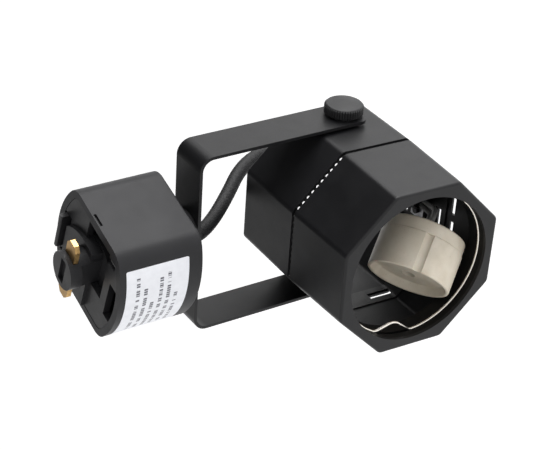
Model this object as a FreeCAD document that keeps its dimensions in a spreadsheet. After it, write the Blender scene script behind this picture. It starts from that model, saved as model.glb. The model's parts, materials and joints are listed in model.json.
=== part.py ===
import FreeCAD, Part
import math
import os
import Sketcher
from FreeCAD import Placement, Rotation, Vector

# Track spotlight for a GU10 lamp: track adapter, swivelling U-bracket, tilting octagonal head.
# Frame: origin at the centre of the adapter's track face, +Z up into the track.
# The tilt axis is along X; at rest the lamp shines along -Y.

X_AXIS, Y_AXIS, Z_AXIS = Vector(1, 0, 0), Vector(0, 1, 0), Vector(0, 0, 1)
PARTS_FOLDER = "parts"

# Driving dimensions, in mm, and angles in degrees.
DIMENSIONS = {
    "adapter_thick": 38.8, "adapter_width": 43.0, "adapter_height": 29.1,
    "adapter_wall": 2.6, "end_arc_radius": 32.3, "adapter_corner": 6.3, "edge_round": 0.6,
    "rest_swivel": 19.0, "rest_tilt": 2.0,
    "cover_gap": 0.12, "cover_thick": 2.4, "pad_radius": 16.3, "pad_rise": 1.3, "pad_edge": 3.2,
    "slot_length": 14.6, "slot_width": 4.6, "slot_offset": 16.2,
    "post_radius": 6.4, "post_height": 8.8, "post_slot": 6.2, "tab_reach": 12.2, "tab_thick": 1.6,
    "tab_level": 5.4, "tab_width": 5.8,
    "latch_width": 14.0, "latch_thick": 1.7, "latch_rise": 2.6,
    "nipple_radius": 4.2, "nipple_bore": 2.9, "disc_radius": 10.5, "nut_flats": 10.5,
    "nut_thick": 1.4, "spring_washer": 0.4,
    "web_drop": 35.4, "pivot_drop": 94.6, "bracket_width": 64.8, "sheet_thick": 1.1,
    "arm_width": 15.0, "bend_radius": 5.0, "tip_reach": 5.2, "tip_round": 2.6,
    "front_reach": 50.7, "gap_reach": 20.6, "gap_width": 1.5, "rear_reach": 9.8,
    "front_flats": 58.5, "gap_flats": 60.5, "shell_wall": 0.7, "facet_round": 2.4,
    "aperture_radius": 26.0, "lip_thick": 1.2, "collar_depth": 8.0, "collar_wall": 1.6,
    "sleeve_thick": 0.35, "sleeve_width": 8.0, "mesh_hole_radius": 0.6, "mesh_pitch": 2.3,
    "mesh_row": 1.1, "vent_width": 2.0,
    "wire_radius": 0.45, "ring_depth": 4.0, "ring_kink": 4.8,
    "holder_radius": 14.2, "holder_length": 17.8, "holder_recess": 3.2,
    "knob_radius": 6.65, "knob_height": 3.6, "thumb_washer_thick": 0.4, "knurl_count": 44,
    "screw_radius": 2.0,
    "running_gap": 0.05, "cable_radius": 2.5, "lead_radius": 0.9,
}


class Size:
    """A length that carries its number and the spreadsheet expression it comes from."""

    def __init__(self, value, text):
        self.value = float(value)
        self.text = text

    def combine(self, other, sign):
        other = as_size(other)
        value = {"+": self.value + other.value, "-": self.value - other.value,
                 "*": self.value * other.value, "/": self.value / (other.value or 1)}[sign]
        return Size(value, f"({self.text} {sign} {other.text})")

    def __add__(self, other):
        return self.combine(other, "+")

    def __sub__(self, other):
        return self.combine(other, "-")

    def __mul__(self, other):
        return self.combine(other, "*")

    def __truediv__(self, other):
        return self.combine(other, "/")

    def __radd__(self, other):
        return as_size(other) + self

    def __rsub__(self, other):
        return as_size(other) - self

    def __rmul__(self, other):
        return as_size(other) * self

    def __neg__(self):
        return Size(-self.value, f"(0 - {self.text})")


def as_size(number):
    return number if isinstance(number, Size) else Size(number, repr(float(number)))


class Sizes:
    """The named cells of the sheet, one Size for each."""


doc = FreeCAD.newDocument("track_spotlight")
sheet = doc.addObject("Spreadsheet::Sheet", "Sizes")
dim = Sizes()
for row, (alias, number) in enumerate(DIMENSIONS.items(), start=1):
    sheet.set(f"A{row}", alias.replace("_", " "))
    sheet.set(f"B{row}", str(number))
    sheet.setAlias(f"B{row}", alias)
    setattr(dim, alias, Size(number, f"Sizes.{alias}"))
doc.recompute()

ZERO = as_size(0)
outputs = []

# Where each assembly sits. The adapter is turned on its swivel; the head's own Z is the light axis.
adapter_place = Placement(Vector(0, 0, 0), Rotation(Z_AXIS, -dim.rest_swivel.value))
pivot = Vector(0, 0, -dim.pivot_drop.value)
head_place = Placement(pivot, Rotation(X_AXIS, 90 - dim.rest_tilt.value))
upper_pivot_place = Placement(pivot, Rotation(Y_AXIS, 90))
lower_pivot_place = Placement(pivot, Rotation(Y_AXIS, -90))


def keep(obj, label, place=Placement()):
    """Names a finished sub-part, puts it in place and lists it for export."""
    obj.Label = label
    obj.Placement = place.multiply(obj.Placement)
    outputs.append(obj)
    return obj


# ---- Part primitives and booleans -------------------------------------------------------------

def set_position(obj, position):
    for axis, size in zip("xyz", position):
        size = as_size(size)
        setattr(obj.Placement.Base, axis, size.value)
        obj.setExpression(f"Placement.Base.{axis}", size.text)


def primitive(kind, position=(0, 0, 0), turn=None, **sizes):
    obj = doc.addObject(f"Part::{kind}", f"{kind}_blank")
    if turn:
        obj.Placement.Rotation = turn
    for name, size in sizes.items():
        size = as_size(size)
        setattr(obj, name, size.value)
        obj.setExpression(name, size.text)
    set_position(obj, position)
    return obj


def box(low, high):
    """A block between two corners."""
    low, high = [as_size(c) for c in low], [as_size(c) for c in high]
    return primitive("Box", low, Length=high[0] - low[0], Width=high[1] - low[1], Height=high[2] - low[2])


def cylinder(radius, low, high, centre=(0, 0), turn=None):
    """A cylinder along Z from low to high, or along the turned Z axis from its position."""
    low, high = as_size(low), as_size(high)
    if turn:
        return primitive("Cylinder", (*centre, low), turn, Radius=radius, Height=high)
    return primitive("Cylinder", (*centre, low), None, Radius=radius, Height=high - low)


def cut(base, *tools):
    for tool in tools:
        result = doc.addObject("Part::Cut", "cut")
        result.Base, result.Tool = base, tool
        base = result
    return base


def fuse(*shapes):
    result = doc.addObject("Part::MultiFuse", "fuse")
    result.Shapes = list(shapes)
    result.Refine = True
    return result


def common(base, tool):
    result = doc.addObject("Part::Common", "common")
    result.Base, result.Tool = base, tool
    return result


def fillet(base, radius, wanted):
    """Rounds the edges of base for which wanted(edge) is true."""
    doc.recompute()
    chosen = [i for i, edge in enumerate(base.Shape.Edges, start=1) if wanted(edge)]
    result = doc.addObject("Part::Fillet", "fillet")
    result.Base = base
    result.Edges = [(i, as_size(radius).value, as_size(radius).value) for i in chosen]
    return result


def shape_part(label, shape, place=Placement()):
    """A sub-part whose shape is made directly, sized from the sheet."""
    obj = doc.addObject("Part::Feature", label)
    obj.Shape = shape
    return keep(obj, label, place)


# ---- PartDesign helpers -----------------------------------------------------------------------

def new_body(label, place=Placement()):
    body = doc.addObject("PartDesign::Body", label)
    return keep(body, label, place)


def new_sketch(body, role, offset=ZERO):
    plane = next(f for f in body.Origin.OriginFeatures if f.Role == role)
    sketch = body.newObject("Sketcher::SketchObject", "sketch")
    sketch.AttachmentSupport = [(plane, "")]
    sketch.MapMode = "FlatFace"
    offset = as_size(offset)
    sketch.AttachmentOffset = Placement(Vector(0, 0, offset.value), Rotation())
    sketch.setExpression("AttachmentOffset.Base.z", offset.text)
    return sketch


def pin_point(sketch, geometry, point, x, y):
    """Ties a sketch point to the origin by its two coordinates."""
    for kind, size, axis in (("DistanceX", as_size(x), -2), ("DistanceY", as_size(y), -1)):
        if abs(size.value) < 1e-9:
            sketch.addConstraint(Sketcher.Constraint("PointOnObject", geometry, point, axis))
        else:
            index = sketch.addConstraint(Sketcher.Constraint(kind, -1, 1, geometry, point, size.value))
            sketch.setExpression(f"Constraints[{index}]", size.text)


def polygon(sketch, points):
    """A closed outline of straight lines through points given as Sizes."""
    points = [(as_size(x), as_size(y)) for x, y in points]
    corners = [Vector(x.value, y.value, 0) for x, y in points]
    first = sketch.GeometryCount
    count = len(corners)
    for i in range(count):
        sketch.addGeometry(Part.LineSegment(corners[i], corners[(i + 1) % count]), False)
    for i in range(count):
        after = first + (i + 1) % count
        sketch.addConstraint(Sketcher.Constraint("Coincident", first + i, 2, after, 1))
    for i, (x, y) in enumerate(points):
        pin_point(sketch, first + i, 1, x, y)


def rectangle(sketch, x0, y0, x1, y1):
    polygon(sketch, [(x0, y0), (x1, y0), (x1, y1), (x0, y1)])


def circle(sketch, radius, x=ZERO, y=ZERO):
    radius, x, y = as_size(radius), as_size(x), as_size(y)
    index = sketch.addGeometry(Part.Circle(Vector(x.value, y.value, 0), Z_AXIS, radius.value), False)
    constraint = sketch.addConstraint(Sketcher.Constraint("Radius", index, radius.value))
    sketch.setExpression(f"Constraints[{constraint}]", radius.text)
    pin_point(sketch, index, 3, x, y)


def pad(body, sketch, length, symmetric=False, backwards=False):
    feature = body.newObject("PartDesign::Pad", "pad")
    feature.Profile = sketch
    feature.Length = as_size(length).value
    feature.setExpression("Length", as_size(length).text)
    feature.SideType = "Symmetric" if symmetric else "One side"
    feature.Reversed = backwards
    doc.recompute()
    return feature


def pocket(body, sketch, length, symmetric=False, backwards=False):
    """Cuts a sketch out of the body, and makes sure that it removed something."""
    before = body.Shape.Volume
    feature = body.newObject("PartDesign::Pocket", "pocket")
    feature.Profile = sketch
    feature.Length = as_size(length).value
    feature.setExpression("Length", as_size(length).text)
    feature.SideType = "Symmetric" if symmetric else "One side"
    feature.Reversed = backwards
    doc.recompute()
    if body.Shape.Volume >= before - 1e-6:
        raise RuntimeError(f"a pocket in {body.Label} removed nothing")
    return feature


def revolve(body, sketch):
    feature = body.newObject("PartDesign::Revolution", "revolution")
    feature.Profile = sketch
    feature.ReferenceAxis = (sketch, ["V_Axis"])
    feature.Angle = 360
    doc.recompute()
    return feature


def turned_body(label, profile, place=Placement()):
    """A body turned about its own Z axis from a profile of (radius, height) points."""
    body = new_body(label, place)
    sketch = new_sketch(body, "XZ_Plane")
    polygon(sketch, profile)
    revolve(body, sketch)
    return body


def polar_pattern(body, feature, count):
    pattern = body.newObject("PartDesign::PolarPattern", "pattern")
    pattern.Originals = [feature]
    axis = next(f for f in body.Origin.OriginFeatures if f.Role == "Z_Axis")
    pattern.Axis = (axis, [""])
    pattern.Angle = 360
    pattern.Occurrences = int(as_size(count).value)
    body.Tip = pattern
    doc.recompute()
    return pattern


def round_edges(body, radius, wanted, kind="Fillet"):
    """Fillets or chamfers the body's edges for which wanted(edge) is true."""
    base = body.Tip
    names = [f"Edge{i}" for i, edge in enumerate(base.Shape.Edges, start=1) if wanted(edge)]
    feature = body.newObject(f"PartDesign::{kind}", kind.lower())
    feature.Base = (base, names)
    size_name = "Radius" if kind == "Fillet" else "Size"
    setattr(feature, size_name, as_size(radius).value)
    feature.setExpression(size_name, as_size(radius).text)
    doc.recompute()
    return feature


def along(edge, direction):
    """True if an edge is straight and parallel to a direction."""
    if not isinstance(edge.Curve, Part.Line):
        return False
    run = (edge.Vertexes[-1].Point - edge.Vertexes[0].Point).normalize()
    return abs(run.dot(direction)) > 0.999


def at_height(edge, height):
    return all(abs(v.Point.z - height) < 1e-4 for v in edge.Vertexes)


def washer(label, outer, inner, low, high, place=Placement()):
    body = new_body(label, place)
    sketch = new_sketch(body, "XY_Plane", low)
    circle(sketch, outer)
    circle(sketch, inner)
    pad(body, sketch, as_size(high) - low)
    return body


def hex_points(flats):
    corner = flats / 1.7320508
    half = flats / 2
    return [(corner, ZERO), (corner / 2, half), (-corner / 2, half),
            (-corner, ZERO), (-corner / 2, -half), (corner / 2, -half)]


def hex_nut(label, flats, bore, low, high, place=Placement()):
    body = new_body(label, place)
    sketch = new_sketch(body, "XY_Plane", low)
    polygon(sketch, hex_points(as_size(flats)))
    circle(sketch, bore)
    pad(body, sketch, as_size(high) - low)
    return body


def octagon_prism(flats_low, flats_high, low, high):
    """A solid octagon with flats at +-X and +-Y, from one width across flats to another."""
    sections = []
    for flats, level in ((flats_low, low), (flats_high, high)):
        outline = doc.addObject("Part::RegularPolygon", "octagon")
        outline.Polygon = 8
        corner_radius = as_size(flats) / (2 * math.cos(math.pi / 8))
        outline.Circumradius = corner_radius.value
        outline.setExpression("Circumradius", corner_radius.text)
        outline.Placement.Rotation = Rotation(Z_AXIS, 22.5)
        set_position(outline, (0, 0, level))
        sections.append(outline)
    loft = doc.addObject("Part::Loft", "octagon_solid")
    loft.Sections = sections
    loft.Solid = True
    loft.Ruled = True
    return loft


# ---- Wires and cables: straight runs joined by tangent arcs ------------------------------------

def rounded_path(points, share=0.45):
    """Runs between points with an arc at each inner point, as large as the shorter run allows."""
    points = [Vector(*p) for p in points]
    edges, radii = [], []
    start = points[0]
    for before, corner, after in zip(points, points[1:], points[2:]):
        way_in, way_out = (corner - before).normalize(), (after - corner).normalize()
        trim = share * min((corner - before).Length, (after - corner).Length)
        half_turn = way_in.getAngle(way_out) / 2
        radii.append(trim / math.tan(half_turn))
        arc_start, arc_end = corner - way_in * trim, corner + way_out * trim
        bulge = (way_out - way_in).normalize()
        middle = corner + bulge * (radii[-1] / math.cos(half_turn) - radii[-1])
        edges.append(Part.LineSegment(start, arc_start).toShape())
        edges.append(Part.Arc(arc_start, middle, arc_end).toShape())
        start = arc_end
    edges.append(Part.LineSegment(start, points[-1]).toShape())
    return Part.Wire(edges), radii


def tube(points, radius, name, share=0.45):
    """A round bar along a rounded path, its volume compared with section times length."""
    path, radii = rounded_path(points, share)
    direction = (Vector(*points[1]) - Vector(*points[0])).normalize()
    section = Part.Wire([Part.Circle(Vector(*points[0]), direction, radius).toShape()])
    solid = path.makePipeShell([section], True, False)
    expected = math.pi * radius ** 2 * path.Length
    if abs(solid.Volume - expected) > 0.02 * expected:
        raise RuntimeError(f"{name}: volume {solid.Volume:.1f} is not {expected:.1f}")
    print(f"{name}: length {path.Length:.1f} mm, radii {[round(r, 1) for r in radii]}")
    return solid


# ---- Adapter ------------------------------------------------------------------------------------

def adapter_outline(inset, low, high):
    """The adapter's section: two flat faces at +-X and two convex ends at +-Y, moved in by inset."""
    half_x = dim.adapter_thick / 2 - inset
    half_y = dim.adapter_width / 2 - inset
    radius = dim.end_arc_radius - inset
    ends = [cylinder(radius, low, high, (ZERO, side)) for side in (half_y - radius, radius - half_y)]
    lens = common(*ends)
    slab = box((-half_x, -half_y, low), (half_x, half_y, high))
    corner = (dim.adapter_corner - inset).value
    return fillet(common(lens, slab), corner, lambda edge: along(edge, Z_AXIS))


def make_adapter_housing():
    """Open box with a floor; slots in the far end for the latch and its finger tab."""
    bottom = -dim.adapter_height
    outer = fillet(adapter_outline(ZERO, bottom, ZERO), dim.edge_round,
                   lambda edge: at_height(edge, bottom.value))
    inner = adapter_outline(dim.adapter_wall, bottom + dim.adapter_wall, 1)
    far = dim.adapter_width / 2
    finger_slot = box((-4.2, far - 4, -18.2), (4.2, far + 2, -6))
    notch = box((dim.adapter_thick / 2 - 1.0, -1.6, -1.4), (dim.adapter_thick / 2 + 1, 3.4, -0.5))
    nipple_hole = cylinder(dim.nipple_radius + dim.running_gap, bottom - 1, bottom + dim.adapter_wall + 1)
    keep(cut(outer, inner, finger_slot, notch, nipple_hole), "adapter_housing", adapter_place)


def make_adapter_cover():
    """Inset plate with a raised pad round the post, two end slots and the earth contact's opening."""
    low, top = -dim.cover_thick - 0.1, as_size(-0.1)
    plate = adapter_outline(dim.adapter_wall + dim.cover_gap, low, top)
    opening = box((-5, -10.5, low - 1), (16, 3.9, 1))
    plate = cut(plate, opening)
    pad_block = common(cylinder(dim.pad_radius, low, dim.pad_rise, (-7.5, 2.0)),
                       box((-16.4, -dim.pad_edge, low), (9.5, 15.4, dim.pad_rise)))
    pad_block = common(pad_block, adapter_outline(dim.adapter_wall + dim.cover_gap, low, dim.pad_rise))
    plate = fuse(plate, pad_block)
    half_length, inner_side = dim.slot_length / 2, dim.slot_offset - dim.slot_width / 2
    rim_side = dim.adapter_width / 2
    slots = [box((-1 - half_length, inner_side, low - 1), (-1 + half_length, rim_side, 3)),
             box((-1 - half_length, -rim_side, low - 1), (-1 + half_length, -inner_side, 3))]
    post_hole = cylinder(dim.post_radius + 0.1, low - 1, 5)
    earth_slot = box((12.6, -14.6, low - 1), (15.0, -10.4, 1))
    keep(cut(plate, *slots, post_hole, earth_slot), "adapter_cover", adapter_place)


def make_contact_post():
    """Post that turns into the track: round flange inside, slots at +-X for the contact tabs."""
    body = new_body("contact_post", adapter_place)
    base = new_sketch(body, "XY_Plane", as_size(-5.4))
    circle(base, as_size(9.5))
    pad(body, base, 2.7)
    stem = new_sketch(body, "XY_Plane", as_size(-2.8))
    circle(stem, dim.post_radius)
    pad(body, stem, dim.post_height + 2.8)
    flat = new_sketch(body, "XY_Plane", as_size(-2.7))
    rectangle(flat, as_size(-8), -dim.post_radius - 1, as_size(8), -dim.pad_edge - 0.6)
    pocket(body, flat, dim.tab_level + 2.0, backwards=True)
    groove = new_sketch(body, "YZ_Plane", ZERO)
    half = dim.post_slot / 2
    rectangle(groove, -half, dim.tab_level, half, dim.tab_level + dim.tab_thick + 0.2)
    pocket(body, groove, dim.post_radius * 2 + 2, symmetric=True)
    for side in (-1, 1):
        channel = new_sketch(body, "XY_Plane", as_size(-6.0))
        rectangle(channel, as_size(2.2 * side), as_size(-1.2), as_size(3.6 * side), as_size(1.2))
        pocket(body, channel, dim.tab_level + 6.1, backwards=True)
    top_slot = new_sketch(body, "XY_Plane", dim.post_height - 1.2)
    rectangle(top_slot, as_size(-4.6), as_size(-1.6), as_size(4.6), as_size(1.6))
    pocket(body, top_slot, 2.0, backwards=True)


def make_contact_tabs():
    """Two brass tabs in the post's slot, each with a leg down its channel to the terminals."""
    low = dim.tab_level + 0.1
    for label, side in (("line_contact", 1), ("neutral_contact", -1)):
        body = new_body(label, adapter_place)
        outline = new_sketch(body, "XY_Plane", low)
        half = dim.tab_width / 2
        tip = dim.tab_reach * side
        polygon(outline, [(as_size(1.0 * side), -half), (tip - 1.8 * side, -half), (tip, -half / 2),
                          (tip, half / 2), (tip - 1.8 * side, half), (as_size(1.0 * side), half)])
        pad(body, outline, dim.tab_thick)
        leg = new_sketch(body, "XY_Plane", as_size(-9.0))
        rectangle(leg, as_size(2.4 * side), as_size(-1.0), as_size(3.4 * side), as_size(1.0))
        pad(body, leg, low + 9.5)


def make_earth_contact():
    """Bent spring strip that shows in its slot beside the opening."""
    strip = box((13.2, -14.2, -13.0), (14.2, -10.8, -0.6))
    foot = box((8.0, -14.2, -13.8), (14.2, -10.8, -12.8))
    strip = fillet(fuse(strip, foot), 0.45, lambda edge: along(edge, Y_AXIS) and edge.BoundBox.ZMax > -1)
    keep(strip, "earth_contact", adapter_place)


def make_terminal_block():
    """Two-way block under the post, which the tab legs reach into."""
    body = box((-9.5, -6.2, -15.0), (9.5, 2.0, -9.4))
    pits = [cylinder(1.5, -12.5, -9.0, (x, -4.2)) for x in (-6.0, 6.0)]
    screws = [cylinder(1.4, -12.4, -9.8, (x, -4.2)) for x in (-6.0, 6.0)]
    keep(cut(body, *pits), "terminal_block", adapter_place)
    keep(fuse(*screws), "terminal_screws", adapter_place)


def make_lock_latch():
    """Sliding tongue that rises into the track slot, with a finger tab through the end wall."""
    far = dim.adapter_width / 2
    half = dim.latch_width / 2
    y_high = dim.slot_offset + 1.3
    y_low = y_high - dim.latch_thick
    tongue = box((-1 - half, y_low, -11.0), (-1 + half, y_high, dim.latch_rise))
    shelf = box((-3.8, y_low - 1.5, -13.2), (3.8, y_high, -10.4))
    finger = box((-3.8, y_high - 0.1, -13.2), (3.8, far + 1.6, -10.6))
    keep(fillet(fuse(tongue, shelf, finger), 0.5,
                lambda edge: along(edge, X_AXIS) and edge.BoundBox.ZMin > 2),
         "lock_latch", adapter_place)


def helix_spring(radius, wire, pitch, turns, position):
    """A round-wire coil standing on its own position along Z."""
    helix = Part.makeHelix(pitch, pitch * turns, radius)
    section = Part.Wire([Part.Circle(Vector(radius, 0, 0), Y_AXIS, wire).toShape()])
    coil = Part.Wire(helix).makePipeShell([section], True, True)
    coil.translate(position)
    return coil


def make_latch_spring():
    """Compression spring between the latch's shelf and the housing floor."""
    floor = -dim.adapter_height.value + dim.adapter_wall.value
    y = dim.slot_offset.value - 0.2
    spring = helix_spring(1.6, 0.25, 1.75, 7, Vector(0, y - 1.2, floor + 0.3))
    shape_part("latch_spring", spring, adapter_place)


def make_rating_label():
    """Thin plate on the convex end that faces -Y."""
    radius = dim.end_arc_radius
    centre_y = radius - dim.adapter_width / 2
    low, high = as_size(-24.0), as_size(-2.2)
    skin = cut(cylinder(radius + 0.12, low, high, (ZERO, centre_y)),
               cylinder(radius, low - 1, high + 1, (ZERO, centre_y)))
    window = box((-15.0, -dim.adapter_width / 2 - 1, low), (15.0, -dim.adapter_width / 2 + 5, high))
    keep(common(skin, window), "rating_label", adapter_place)


# ---- Swivel -------------------------------------------------------------------------------------

def make_swivel():
    """Hollow nipple through the adapter floor, disc, bracket web, washer and lock nut."""
    floor_top = -dim.adapter_height + dim.adapter_wall
    end = -dim.web_drop - dim.sheet_thick - dim.spring_washer - dim.nut_thick - 0.2
    bore = dim.nipple_bore
    turned_body("swivel_nipple", [
        (bore, end), (dim.nipple_radius, end), (dim.nipple_radius, floor_top),
        (dim.nipple_radius + 2.4, floor_top), (dim.nipple_radius + 2.4, floor_top + 2.0),
        (bore, floor_top + 2.0)])
    hole = dim.nipple_radius + dim.running_gap
    turned_body("swivel_disc", [
        (hole, -dim.adapter_height), (dim.disc_radius - 1.5, -dim.adapter_height),
        (dim.disc_radius, -dim.adapter_height - 1.5), (dim.disc_radius, -dim.web_drop + 0.05),
        (hole, -dim.web_drop + 0.05)])
    under = -dim.web_drop - dim.sheet_thick - 0.05
    seat = under - dim.spring_washer
    washer("swivel_washer", dim.nut_flats / 2 + 0.9, hole, seat, under)
    hex_nut("swivel_nut", dim.nut_flats, hole, seat - dim.nut_thick, seat)


def make_swivel_bush():
    """Thin plastic bush between the bracket's hole and the nipple."""
    washer("swivel_bush", dim.nipple_radius + 1.0, dim.nipple_radius + dim.running_gap,
           -dim.web_drop - dim.sheet_thick, -dim.web_drop)


# ---- Bracket ------------------------------------------------------------------------------------

def make_bracket():
    body = new_body("u_bracket")
    half = dim.bracket_width / 2
    inner = half - dim.sheet_thick
    top = -dim.web_drop
    under = top - dim.sheet_thick
    tip = -dim.pivot_drop - dim.tip_reach
    outline = new_sketch(body, "XZ_Plane")
    polygon(outline, [(-half, tip), (-inner, tip), (-inner, under), (inner, under),
                      (inner, tip), (half, tip), (half, top), (-half, top)])
    pad(body, outline, dim.arm_width, symmetric=True)
    outer_x, inner_x = half.value, inner.value

    def bend(edge, x, z):
        centre = edge.CenterOfMass
        return along(edge, Y_AXIS) and abs(abs(centre.x) - x) < 0.01 and abs(centre.z - z) < 0.01

    round_edges(body, dim.bend_radius, lambda edge: bend(edge, outer_x, top.value))
    round_edges(body, dim.bend_radius - dim.sheet_thick, lambda edge: bend(edge, inner_x, under.value))
    round_edges(body, dim.tip_round,
                lambda edge: along(edge, X_AXIS) and abs(edge.CenterOfMass.z - tip.value) < 0.01)
    pivot_holes = new_sketch(body, "YZ_Plane")
    circle(pivot_holes, dim.screw_radius + 0.1, ZERO, -dim.pivot_drop)
    pocket(body, pivot_holes, dim.bracket_width + 2, symmetric=True)
    web_hole = new_sketch(body, "XY_Plane", top + 1)
    circle(web_hole, dim.nipple_radius + 1.0)
    pocket(body, web_hole, 4.0)


# ---- Head shells --------------------------------------------------------------------------------

# The cable clip sits on the shell's lower facet, at this level along the light axis.
CLIP_Z = 9.5
CLIP_SCREW_X = 6.2
CABLE_END = 14.5


def rounded_octagon(flats_low, flats_high, low, high, radius):
    solid = octagon_prism(flats_low, flats_high, low, high)
    return fillet(solid, radius,
                  lambda edge: abs(edge.Vertexes[0].Point.z - edge.Vertexes[-1].Point.z) > 5)


def vent_slots(side_y, level, length, places):
    """Narrow slots through the facet at local -Y, side by side along X."""
    half = dim.vent_width / 2
    return [box((x - length / 2, side_y - 2, level - half), (x + length / 2, side_y + 2, level + half))
            for x in places]


def make_rear_shell():
    low, high = -dim.rear_reach, dim.gap_reach - dim.gap_width / 2
    wall = dim.shell_wall
    outer = rounded_octagon(dim.gap_flats, dim.gap_flats, low, high, dim.facet_round)
    outer = fillet(outer, 0.5, lambda edge: at_height(edge, low.value))
    inner = rounded_octagon(dim.gap_flats - wall * 2, dim.gap_flats - wall * 2, low - 1, high + 1,
                            dim.facet_round - wall)
    pivot_bore = cylinder(dim.screw_radius + 1.2, -40, 80, turn=Rotation(Y_AXIS, 90))
    set_position(pivot_bore, (-40, 0, 0))
    slots = vent_slots(-dim.gap_flats / 2, 1.8, 5.8, (-7.6, 7.6))
    clip_holes = [cylinder(1.25, 0, 6, turn=Rotation(X_AXIS, -90)) for side in (-1, 1)]
    for hole, x in zip(clip_holes, (-CLIP_SCREW_X, CLIP_SCREW_X)):
        set_position(hole, (x, -dim.gap_flats / 2 - 2, CLIP_Z))
    keep(cut(outer, inner, pivot_bore, *clip_holes, *slots), "rear_shell", head_place)


def make_front_shell():
    low, high = dim.gap_reach + dim.gap_width / 2, dim.front_reach
    wall = dim.shell_wall
    outer = rounded_octagon(dim.gap_flats, dim.front_flats, low, high, dim.facet_round)
    outer = fillet(outer, 0.9, lambda edge: at_height(edge, high.value))
    inner = rounded_octagon(dim.gap_flats - wall * 2, dim.front_flats - wall * 2, low,
                            high - dim.lip_thick, dim.facet_round - wall)
    mouth = rounded_octagon(dim.gap_flats - wall * 2, dim.gap_flats - wall * 2, low - 6, low,
                            dim.facet_round - wall)
    aperture = cylinder(dim.aperture_radius, low, high + 1)
    slots = vent_slots(-dim.gap_flats / 2, 28.0, 6.4, (-4.6, 4.6))
    keep(cut(outer, inner, mouth, aperture, *slots), "front_shell", head_place)


def make_perforated_sleeve():
    """Octagonal band of thin perforated sheet behind the gap between the shells.

    Two staggered rows of holes run round the facets on the local +Y side; on the other side the
    band is cut away behind part of the gap, in one window on each of two facets.
    """
    side_gap = 0.2
    apothem = dim.gap_flats.value / 2 - dim.shell_wall.value - side_gap
    half, middle = dim.sleeve_width.value / 2, dim.gap_reach.value
    thick, pitch = dim.sleeve_thick.value, dim.mesh_pitch.value

    def octagon_face(flat_radius):
        corner = flat_radius / math.cos(math.pi / 8)
        ring = [Vector(corner * math.cos(math.radians(22.5 + 45 * i)),
                       corner * math.sin(math.radians(22.5 + 45 * i)), middle - half) for i in range(9)]
        return Part.Face(Part.makePolygon(ring))

    def rounded_band(flat_radius, corner_radius):
        solid = octagon_face(flat_radius).extrude(Vector(0, 0, 2 * half))
        upright = [edge for edge in solid.Edges if along(edge, Z_AXIS)]
        return solid.makeFillet(corner_radius, upright)

    outside = dim.facet_round.value
    band = rounded_band(apothem, outside).cut(rounded_band(apothem - thick, outside - thick))
    facet_width = 2 * apothem * math.tan(math.pi / 8)
    per_side = int((facet_width - 2.2) / pitch)
    drills = []
    for facet in (0, 1, 2, 3):
        turn = Rotation(Z_AXIS, 45 * facet)
        for row, level in ((0, -dim.mesh_row.value / 2), (1, dim.mesh_row.value / 2)):
            for i in range(per_side + 1 - row):
                across = (i - (per_side - row) / 2) * pitch
                start = turn.multVec(Vector(apothem - 2, across, middle + level))
                drills.append(Part.makeCylinder(dim.mesh_hole_radius.value, 4, start, turn.multVec(X_AXIS)))
    window = dim.gap_width.value + 1.6
    far, near = apothem + 1, apothem - 1.6
    drills.append(Part.makeBox(far - near, 8.6, window, Vector(-far, -12.0, middle - window / 2)))
    drills.append(Part.makeBox(6.4, far - near, window, Vector(-6.2, -far, middle - window / 2)))
    shape_part("perforated_sleeve", band.cut(drills), head_place)


def make_lamp_collar():
    """Round sleeve behind the aperture, with the groove that the retaining ring sits in."""
    back = dim.front_reach - dim.lip_thick
    inner = dim.aperture_radius
    outer = inner + dim.collar_wall
    groove = dim.front_reach - dim.ring_depth
    turned_body("lamp_collar", [
        (inner, back), (outer, back), (outer, back - dim.collar_depth), (inner, back - dim.collar_depth),
        (inner, groove - 0.6), (inner + 0.7, groove - 0.6), (inner + 0.7, groove + 0.6),
        (inner, groove + 0.6)], head_place)


def make_retaining_ring():
    """Sprung wire ring in the collar's groove, with one V kink to grip it by; its ends stand apart."""
    radius = dim.aperture_radius.value + 0.1
    level = dim.front_reach.value - dim.ring_depth.value
    step, first, last = 9, 60, 378
    kink_start, kink_peak, kink_end = 152, 167, 184
    corner_reach = radius / math.cos(math.radians(step / 2))

    def on_ring(angle, reach=corner_reach):
        return (reach * math.cos(math.radians(angle)), reach * math.sin(math.radians(angle)), level)

    route = [on_ring(angle) for angle in range(first, kink_start - step + 1, step)]
    route += [on_ring(kink_start, radius), on_ring(kink_peak, radius - dim.ring_kink.value),
              on_ring(kink_end, radius)]
    route += [on_ring(angle) for angle in range(kink_end + step, last + 1, step)]
    shape_part("retaining_ring", tube(route, dim.wire_radius.value, "retaining ring", 0.3), head_place)


# ---- Lampholder ---------------------------------------------------------------------------------

# The holder hangs on its leads: the centre of its open rim and the way it faces, in head axes.
HOLDER_RIM = Vector(-11.0, -4.0, 40.0)
HOLDER_FACING = Vector(-0.66, 0.63, 0.42)


def holder_placement():
    turn = Rotation(Z_AXIS, HOLDER_FACING)
    return head_place.multiply(Placement(HOLDER_RIM, turn))


def make_lamp_holder():
    """Ceramic GU10 cup: open recess at the front, contact holes in its floor, a groove down one side."""
    radius, length, recess = dim.holder_radius, dim.holder_length, dim.holder_recess
    back = -length
    body = turned_body("lamp_holder", [
        (ZERO, -recess), (radius - 1.8, -recess), (radius - 1.6, ZERO), (radius - 0.4, ZERO),
        (radius, as_size(-0.5)), (radius, back + 5.0), (radius - 0.4, back + 4.6), (ZERO, back + 4.6)],
        holder_placement())
    slots = new_sketch(body, "XY_Plane", -recess + 1)
    for side in (-1, 1):
        circle(slots, as_size(2.5), as_size(5.0 * side), ZERO)
    pocket(body, slots, 9.0)
    groove = new_sketch(body, "XY_Plane", as_size(1.0))
    circle(groove, as_size(1.6), ZERO, radius + 0.5)
    pocket(body, groove, length + 2)
    return body


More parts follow.
